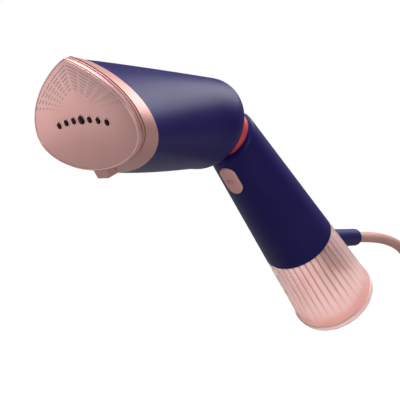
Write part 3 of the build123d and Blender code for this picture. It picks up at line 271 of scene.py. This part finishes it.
cord_rubber = moulded(
    "cord_rubber",
    tone=colour(226, 174, 168),
    shade_tone=colour(214, 160, 154),
    roughness=0.52,
    grain=1500.0,
    depth=0.00012,
    Specular_IOR_Level=0.4,
)
mains_cord.data.materials.append(cord_rubber)
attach(mains_cord, "handle")
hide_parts("cord_lead", "cord_coil")


# Plug and band: a two-pin plug moulded on to the cord's end in the same pink, with bright plated pins,
# and a plain white band that is wrapped round the coil's turns.
def merged_copy(name, piece_name):
    """A solid's own shape as a new object, active and selected, with its loose triangles merged."""
    piece = nodes[name].copy()
    piece.data = nodes[name].data.copy()
    piece.parent = None
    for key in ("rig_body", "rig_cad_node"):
        if key in piece:
            del piece[key]
    piece.name = piece_name
    piece.data.name = piece_name
    piece.hide_viewport = False
    piece.hide_render = False
    bpy.context.scene.collection.objects.link(piece)
    piece.hide_set(False)
    bpy.ops.object.select_all(action="DESELECT")
    piece.select_set(True)
    bpy.context.view_layer.objects.active = piece
    bpy.ops.object.mode_set(mode="EDIT")
    bpy.ops.mesh.select_all(action="SELECT")
    bpy.ops.mesh.remove_doubles(threshold=0.000002)
    bpy.ops.mesh.customdata_custom_splitnormals_clear()
    bpy.ops.mesh.select_all(action="DESELECT")
    bpy.ops.object.mode_set(mode="OBJECT")
    piece.data.materials.clear()
    return piece


def dressed(name, body, material):
    """A solid's own shape as a finished piece: its curved faces smooth and its edges crisp."""
    sharpest_smooth = math.radians(35.0)
    piece = merged_copy(name, name + "_skin")
    bpy.ops.object.shade_smooth_by_angle(angle=sharpest_smooth)
    piece.data.materials.append(material)
    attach(piece, body)
    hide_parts(name)
    return piece


plug_rubber = moulded(
    "plug_rubber",
    tone=colour(222, 170, 164),
    shade_tone=colour(211, 158, 152),
    roughness=0.45,
    grain=1800.0,
    depth=0.00010,
    Specular_IOR_Level=0.45,
)
band_plastic = moulded(
    "band_plastic",
    tone=colour(232, 229, 226),
    shade_tone=colour(222, 219, 216),
    roughness=0.55,
    grain=1200.0,
    depth=0.0002,
)
pin_metal, pin_shader, pin_place = new_finish("pin_metal", Metallic=1.0)
pin_streak = pin_place.node("Mapping", {}, {"Vector": pin_place, "Scale": (60.0, 2400.0, 2400.0)})
pin_wear = pin_streak.noise(scale=1.0, detail=3.0)
feed(
    pin_shader,
    Base_Color=pin_wear.mixed(colour(214, 205, 186), colour(190, 180, 160)),
    Roughness=pin_wear.ranged(0.18, 0.34),
)
plug_skin = dressed("plug_body", "handle", plug_rubber)
pins_skin = dressed("plug_pins", "handle", pin_metal)
tie_skin = dressed("cord_tie", "handle", band_plastic)

# Soleplate: a flat aluminium plate, blasted and anodised rose, with a rounded edge and seven steam holes.
# Pins on its back hold it in the steam chamber. A hatch of short grey dashes is printed below its tip, in
# rows that follow the two upper edges. The hatch is laid out in millimetres from the middle hole.
hole_point = Vector((-0.1603828, 0.0, 0.0362279))
plate_right = Vector((0.0, -1.0, 0.0))
plate_up = Vector((-0.394744, 0.0, 0.918791))
mm_per_metre = 1000
hatch_top = 28.7  # height of the outer row's point
hatch_slope = 0.46  # fall of its two arms beside the point
hatch_curve = 0.0084  # how fast that fall grows outwards
hatch_rows = 7
hatch_pitch = 1.75
hatch_line = 0.30  # half the width of a printed line
hatch_line_blur = 0.10
hatch_end_blur = 0.02
hatch_reach = 31.0  # reach of the outer row's arms
hatch_taper = 1.4  # loss of that reach with each millimetre inwards
hatch_rough = 0.12  # ink's roughness over the metal's
dash_rate = 0.109  # dashes for each millimetre beside the point
dash_crowding = 0.0026  # how fast they crowd outwards
dashes_in_arm = 5.95
dash_half = 0.46  # half a dash, as a share of its place
dash_half_outwards = 0.0065  # loss of that share along the arm
dash_half_inwards = 0.018  # loss of that share from row to row
dash_blur = 0.03
middle_gap = 0.40  # bare half width between the two arms
middle_blur = 0.15

rose_plate, plate_shader, plate_place = new_finish("rose_plate", Metallic=0.72, Specular_IOR_Level=0.5)
across = abs(plate_place.along(hole_point, plate_right) * mm_per_metre)
height = plate_place.along(hole_point, plate_up) * mm_per_metre
outer_row = hatch_top - hatch_slope * across - hatch_curve * across * across
slope = hatch_slope + 2 * hatch_curve * across
inside = (outer_row - height) / plate_place.math("SQRT", 1 + slope * slope)
row = inside / hatch_pitch + 0.5
row_off = abs(plate_place.math("FRACT", row) - 0.5) * hatch_pitch
scaled = across * hatch_reach / (hatch_reach - hatch_taper * inside)
dash = scaled * (dash_rate + dash_crowding * scaled)
dash_off = abs(plate_place.math("FRACT", dash) - 0.5)
dash_end = dash_half - dash_half_outwards * dash * dash - dash_half_inwards * inside
on_line = 1 - row_off.above(hatch_line, hatch_line_blur)
on_dash = 1 - (dash_off - dash_end).above(0.0, dash_blur)
in_rows = row.above(hatch_end_blur, hatch_end_blur) * (1 - row.above(hatch_rows, hatch_end_blur))
in_arm = 1 - dash.above(dashes_in_arm, hatch_end_blur)
apart = across.above(middle_gap, middle_blur)
hatch = on_line * on_dash * in_rows * in_arm * apart
blast = plate_place.noise(scale=2600.0, roughness=0.7)
cloud = plate_place.noise(scale=24.0)
plate_tone = cloud.above(edge=0.5, soft=0.3).mixed(colour(222, 172, 168), colour(214, 162, 157))
feed(
    plate_shader,
    Base_Color=hatch.mixed(plate_tone, colour(176, 166, 164)),
    Roughness=blast.ranged(0.36, 0.46) + hatch_rough * hatch,
    Normal=blast.bumped(strength=0.25, distance=0.00004),
)
soleplate_skin = dressed("soleplate", "head", rose_plate)


# Lips of the soleplate: a fine bead, rolled round the plate's face and each steam hole, paler than the plate
# as painted highlight.
# It follows the outlines of the flat face itself.
def beaded(piece, bead_r):
    """Keep only the selected edges of a piece, as a round bead along each of their loops."""
    bpy.ops.object.mode_set(mode="EDIT")
    bpy.ops.mesh.select_all(action="INVERT")
    bpy.ops.mesh.delete(type="EDGE")
    bpy.ops.object.mode_set(mode="OBJECT")
    bpy.ops.object.convert(target="CURVE")
    piece.data.bevel_depth = bead_r
    piece.data.bevel_resolution = 2
    bpy.ops.object.convert(target="MESH")
    bpy.ops.object.shade_smooth()


lip_r = 0.00030
flat_enough = 0.9999  # least cosine between a triangle of the flat face and the way the plate faces
# Painted highlight: the beads' pale pink stands for the light caught by the plate's rounded edge and the
# holes' rims.
lip_highlight_metal, lip_shader, lip_place = new_finish("lip_highlight_metal", Metallic=0.8)
lip_wear = lip_place.noise(scale=1400.0)
feed(
    lip_shader,
    Base_Color=lip_wear.mixed(colour(255, 214, 209), colour(250, 204, 199)),
    Roughness=lip_wear.ranged(0.36, 0.46),
)
plate_out = plate_right.cross(plate_up)
plate_lips = merged_copy("soleplate", "plate_lips")
for face in plate_lips.data.polygons:
    face.select = face.normal.dot(plate_out) > flat_enough
bpy.ops.object.mode_set(mode="EDIT")
bpy.ops.mesh.select_mode(type="FACE")
bpy.ops.mesh.region_to_loop()
beaded(plate_lips, lip_r)
plate_lips.data.materials.append(lip_highlight_metal)
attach(plate_lips, "head")

# Bezel: the moulded collar that frames the soleplate, in a pearl rose with a thin coat of lacquer.
# It is stepped behind the plate's edge and has a small lifting tab under its foot.
rose_bezel, bezel_shader, bezel_place = new_finish(
    "rose_bezel",
    Metallic=0.38,
    Coat_Weight=0.12,
    Coat_Roughness=0.3,
)
pearl = bezel_place.noise(scale=1900.0, detail=3.0, roughness=0.65)
bezel_cloud = bezel_place.noise(scale=30.0)
feed(
    bezel_shader,
    Base_Color=bezel_cloud.above(edge=0.5, soft=0.3).mixed(colour(218, 166, 160), colour(208, 154, 148)),
    Roughness=pearl.ranged(0.42, 0.52),
    Normal=pearl.bumped(strength=0.15, distance=0.00003),
)
bezel_skin = dressed("bezel", "head", rose_bezel)

# Head shell: a thin moulded hood of indigo plastic with a fine matt skin, level along its top.
# Two screws under the soleplate draw it to the steam chamber, and its rear closes round the twist joint.
indigo_shell = moulded(
    "indigo_shell",
    tone=colour(36, 30, 99),
    shade_tone=colour(32, 26, 91),
    roughness=0.42,
    grain=2200.0,
    depth=0.00006,
    Specular_IOR_Level=0.14,
)
head_skin = dressed("head_shell", "head", indigo_shell)

# Twist joint: a coral ring, moulded in gloss plastic, that shows between the head and the handle.
# It sits in the head's slanting end and turns with it against the handle.
coral_ring = moulded(
    "coral_ring",
    tone=colour(240, 84, 84),
    shade_tone=colour(230, 74, 76),
    roughness=0.30,
    grain=900.0,
    depth=0.00004,
)
ring_skin = dressed("swivel_ring", "head", coral_ring)

# Handle: one tapered tube of the same indigo plastic, with a slanting rim at the twist joint.
# A tongue runs from its foot down the tank's back, and the cord leaves through that.
handle_skin = dressed("handle_shell", "handle", indigo_shell)

# Steam button: a satin rose cap with a stepped rim, moulded to the handle's curve.
# It stands proud of the handle's front and travels into it, and a flange inside stops it.
rose_button = moulded(
    "rose_button",
    tone=colour(251, 188, 182),
    shade_tone=colour(246, 180, 174),
    roughness=0.42,
    grain=1600.0,
    depth=0.00004,
    Specular_IOR_Level=0.3,
)
button_skin = dressed("steam_button", "button", rose_button)

# Sign on the button: three short waves of steam, a little darker than the button as painted shade of
# engraved lines.
# They follow the curve of the button's face and stand just proud of it.
swivel_point = Vector((-0.0413828, 0.0, 0.0362279))
handle_down = Vector((0.752415, 0.0, -0.658689))
handle_front = Vector((-0.658689, 0.0, -0.752415))
button_at = 0.0215
button_face_r = 0.01963
wave_pitch = 0.0016
wave_half = 0.0019
wave_sway = 0.00042
wave_bends = 1.5
wave_points = 9
wave_r = 0.00016
# Painted shade: the sign's darker rose stands for the shade in the engraved lines.
sign_groove_shade = moulded(
    "sign_groove_shade",
    tone=colour(190, 116, 112),
    shade_tone=colour(182, 108, 104),
    roughness=0.5,
    grain=1600.0,
    depth=0.00002,
)
sign_curve = bpy.data.curves.new("button_sign", "CURVE")
sign_curve.dimensions = "3D"
for wave in (-1, 0, 1):
    wave_line = sign_curve.splines.new("NURBS")
    wave_line.points.add(wave_points - 1)
    for k, knot in enumerate(wave_line.points):
        share = 2 * k / (wave_points - 1) - 1
        sideways = wave * wave_pitch + wave_sway * math.sin(math.pi * wave_bends * share)
        forward = math.sqrt(button_face_r**2 - sideways**2)
        spot = swivel_point + handle_front * forward + handle_down * (button_at + wave_half * share)
        knot.co = (spot.x, sideways, spot.z, 1.0)
    wave_line.order_u = 3
    wave_line.use_endpoint_u = True
sign_curve.bevel_depth = wave_r
sign_curve.bevel_resolution = 2
sign_curve.use_fill_caps = True
button_sign = bpy.data.objects.new("button_sign", sign_curve)
bpy.context.scene.collection.objects.link(button_sign)
bpy.ops.object.select_all(action="DESELECT")
button_sign.select_set(True)
bpy.context.view_layer.objects.active = button_sign
bpy.ops.object.convert(target="MESH")
button_sign.data.materials.append(sign_groove_shade)
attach(button_sign, "button")

# Strain relief: a soft indigo boot with a smooth taper, through which the cord leaves the handle's tongue.
# Its root passes through the tongue, and a flange inside holds it.
indigo_relief = moulded(
    "indigo_relief",
    tone=colour(34, 29, 98),
    shade_tone=colour(30, 25, 90),
    roughness=0.46,
    grain=1500.0,
    depth=0.00008,
    Specular_IOR_Level=0.2,
)
relief_skin = dressed("strain_relief", "handle", indigo_relief)

# Water tank: a cup moulded in clear pink plastic, fluted down its outside, that pulls off the handle.
# The plastic is milky, so light goes through it but the tube inside only shows faintly. The grooves between
# its flutes are coloured a darker pink as painted shade, and that shade fades out towards its foot.
flutes = 36
groove_sharpness = 6.0
groove_shade_strength = 0.85
groove_end = 0.140
groove_fade = 0.014
foot_from = 0.146
foot_fade = 0.008
pink_tank, tank_shader, tank_place = new_finish(
    "pink_tank",
    Transmission_Weight=0.84,
    IOR=1.15,
    Specular_IOR_Level=0.5,
)
tank_fore = tank_place.along(swivel_point, handle_front)
tank_side = tank_place.along(swivel_point, (0.0, 1.0, 0.0))
tank_depth = tank_place.along(swivel_point, handle_down)
round_angle = tank_place.math("ARCTAN2", tank_side, tank_fore)
flute_wave = tank_place.math("COSINE", round_angle * flutes)
# Painted shade: a darker pink in the grooves between the flutes, fading out near the foot.
groove_shade = (0.5 - 0.5 * flute_wave) ** groove_sharpness * (1 - tank_depth.above(groove_end, groove_fade))
near_foot = tank_depth.above(foot_from, foot_fade)
tank_tone = near_foot.mixed(colour(254, 238, 236), colour(253, 226, 222))
feed(
    tank_shader,
    Base_Color=(groove_shade_strength * groove_shade).mixed(tank_tone, colour(198, 134, 128)),
    Roughness=tank_place.noise(scale=700.0).ranged(0.46, 0.56),
)
tank_skin = dressed("water_tank", "tank", pink_tank)

# Tank end cap: the rounded foot of the tank, moulded apart in a slightly denser pink and welded into it.
# It is plain all round, and shines a little more than the tank.
pink_cap, cap_shader, cap_place = new_finish("pink_cap", Transmission_Weight=0.82, IOR=1.15)
cap_cloud = cap_place.noise(scale=60.0)
feed(
    cap_shader,
    Base_Color=cap_cloud.above(edge=0.5, soft=0.3).mixed(colour(253, 231, 228), colour(252, 226, 222)),
    Roughness=cap_place.noise(scale=900.0).ranged(0.34, 0.44),
)
cap_skin = dressed("tank_end_cap", "tank", pink_cap)

# Bead of the cap: a fine bright lip, moulded round the cap where it meets the tank.
# It covers the joint and sits in the cap's upper edge.
cap_top = 0.1562
cap_edge_r = 0.0279
cap_near = 0.0002
cap_lip_r = 0.0005
cap_gloss = moulded(
    "cap_gloss",
    tone=colour(255, 236, 233),
    shade_tone=colour(254, 230, 226),
    roughness=0.22,
    grain=900.0,
    depth=0.00003,
)
cap_lip = merged_copy("tank_end_cap", "cap_lip")
for edge in cap_lip.data.edges:
    ends = [cap_lip.data.vertices[k].co - swivel_point for k in edge.vertices]
    level = all(abs(end.dot(handle_down) - cap_top) < cap_near for end in ends)
    outer = all((end - handle_down * end.dot(handle_down)).length > cap_edge_r for end in ends)
    edge.select = level and outer
bpy.ops.object.mode_set(mode="EDIT")
bpy.ops.mesh.select_mode(type="EDGE")
bpy.ops.object.mode_set(mode="OBJECT")
beaded(cap_lip, cap_lip_r)
cap_lip.data.materials.append(cap_gloss)
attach(cap_lip, "tank")

# Inside the head and the handle: the cast steam chamber and its heater, white moulded frames and fittings,
# soft seals and hoses, plated steel, the lacquered board with its black parts, and the pump's winding.
plated_steel = moulded(
    "plated_steel",
    tone=colour(176, 177, 180),
    shade_tone=colour(160, 161, 165),
    roughness=0.3,
    grain=1600.0,
    depth=0.00003,
    Metallic=1.0,
)
inner_finishes = {
    "inner_plastic": moulded(
        "inner_plastic",
        tone=colour(226, 225, 220),
        shade_tone=colour(216, 215, 210),
        roughness=0.5,
        grain=1200.0,
        depth=0.0001,
    ),
    "seal_rubber": moulded(
        "seal_rubber",
        tone=colour(214, 208, 198),
        shade_tone=colour(204, 197, 186),
        roughness=0.6,
        grain=900.0,
        depth=0.0001,
    ),
    "cast_metal": moulded(
        "cast_metal",
        tone=colour(186, 188, 190),
        shade_tone=colour(170, 172, 175),
        roughness=0.5,
        grain=700.0,
        depth=0.0003,
        Metallic=0.9,
    ),
    "fuse_sleeve": moulded(
        "fuse_braid",
        tone=colour(226, 220, 200),
        shade_tone=colour(210, 203, 182),
        roughness=0.7,
        grain=1900.0,
        depth=0.0002,
    ),
    "board": moulded(
        "board_lacquer",
        tone=colour(38, 92, 58),
        shade_tone=colour(32, 82, 50),
        roughness=0.35,
        grain=1200.0,
        depth=0.00005,
    ),
    "black_parts": moulded(
        "black_plastic",
        tone=colour(34, 34, 37),
        shade_tone=colour(26, 26, 29),
        roughness=0.45,
        grain=1200.0,
        depth=0.00008,
    ),
    "winding": moulded(
        "winding_wire",
        tone=colour(190, 112, 66),
        shade_tone=colour(168, 94, 52),
        roughness=0.35,
        grain=1400.0,
        depth=0.0002,
        Metallic=0.8,
    ),
    "steel": plated_steel,
    "pink_cord": cord_rubber,
}
for part in frame["record"]["subparts"]:
    if part["material_slot"] in inner_finishes and part["node"] not in ("cord_lead", "cord_coil"):
        node_slots = nodes[part["node"]].data.materials
        node_slots.clear()
        node_slots.append(inner_finishes[part["material_slot"]])

# Springs: two wound steel springs, one behind the button and one in the pump, seated on the handle's frame.
# In use, the piece that each one returns presses it shorter by that piece's travel; here each only gets a
# mesh of its own.
for joint in frame["record"]["behaviour"]["joints"]:
    for pressed in joint.get("deforming_nodes", []):
        spring_skin = dressed(pressed["node"], "handle", plated_steel)
        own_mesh(spring_skin)

# Floor: a plain white sheet under the coil, which keeps a faint shadow and pales into the surround.
# Cameras and clear plastic see it as white, mirrors see a share of that, and the light that it gives is low.
floor_z = -0.140
floor_half = 6.0
floor_grey = (0.30, 0.30, 0.30, 1.0)
floor_in_mirrors = 0.22
floor_near_white = 0.86
pale_from = 0.9
pale_fade = 0.5
bpy.ops.object.select_all(action="DESELECT")
bpy.ops.mesh.primitive_grid_add(x_subdivisions=4, y_subdivisions=4, size=2 * floor_half)
floor = bpy.context.object
floor.name = "floor"
bpy.ops.object.mode_set(mode="EDIT")
bpy.ops.transform.translate(value=(0, 0, floor_z))
bpy.ops.object.mode_set(mode="OBJECT")


def seen_by(start, mirror_share):
    """1 for rays from the camera and through clear plastic, and a share of it for mirrored rays."""
    camera_ray = start.node("LightPath", {}, {}, "Is Camera Ray")
    clear_ray = start.node("LightPath", {}, {}, "Is Transmission Ray")
    mirror_ray = start.node("LightPath", {}, {}, "Is Glossy Ray")
    return start.math("MINIMUM", camera_ray + clear_ray + mirror_share * mirror_ray, 1.0)


floor_white, floor_shader, floor_place = new_finish(
    "floor_white",
    Base_Color=floor_grey,
    Roughness=0.9,
    Specular_IOR_Level=0.0,
    Emission_Strength=1.0,
)
from_middle = floor_place.node("VectorMath", {"operation": "LENGTH"}, {0: floor_place}, "Value")
far_off = from_middle.above(pale_from, pale_fade)
floor_glow = seen_by(floor_place, floor_in_mirrors) * far_off.ranged(floor_near_white, 1.0)
feed(floor_shader, Emission_Color=floor_glow.mixed(colour(0, 0, 0), colour(255, 255, 255)))
floor.data.materials.append(floor_white)

# Surround: an even white space behind and above the floor.
# Cameras and clear plastic see it as white, and everything else gets a weak, even light from it.
sky_light = 0.12
sky_in_mirrors = 0.05
world = bpy.data.worlds.new("surround")
bpy.context.scene.world = world
world.use_nodes = True
sky = world.node_tree.nodes["Background"]
sky.inputs["Color"].default_value = (1.0, 1.0, 1.0, 1.0)
sky_strength = seen_by(Shade(world.node_tree), sky_in_mirrors).ranged(sky_light, 1.0)
world.node_tree.links.new(sky_strength.socket, sky.inputs["Strength"])


# Studio light: a soft box high behind the handle, one overhead, a weak one beside the camera, and a small
# card low on the steam face's side, which the plate mirrors.
def soft_box(name, place, aim, size, power):
    """A square studio light that points at a place."""
    data = bpy.data.lights.new(name, "AREA")
    data.shape = "SQUARE"
    data.size = size
    data.energy = power
    lamp = bpy.data.objects.new(name, data)
    lamp.location = place
    lamp.rotation_euler = (Vector(aim) - Vector(place)).to_track_quat("-Z", "Y").to_euler()
    bpy.context.scene.collection.objects.link(lamp)


soft_box("key", place=(0.55, -0.12, 0.62), aim=(-0.05, 0.0, 0.0), size=0.5, power=4.6)
soft_box("top", place=(-0.20, 0.05, 0.85), aim=(-0.08, 0.0, 0.0), size=0.5, power=5.0)
soft_box("front_fill", place=(-0.45, -0.80, 0.25), aim=(0.0, 0.0, -0.02), size=0.5, power=2.4)
soft_box("face_card", place=(-0.335, 0.27, -0.045), aim=(-0.166, 0.02, 0.05), size=0.14, power=0.13)
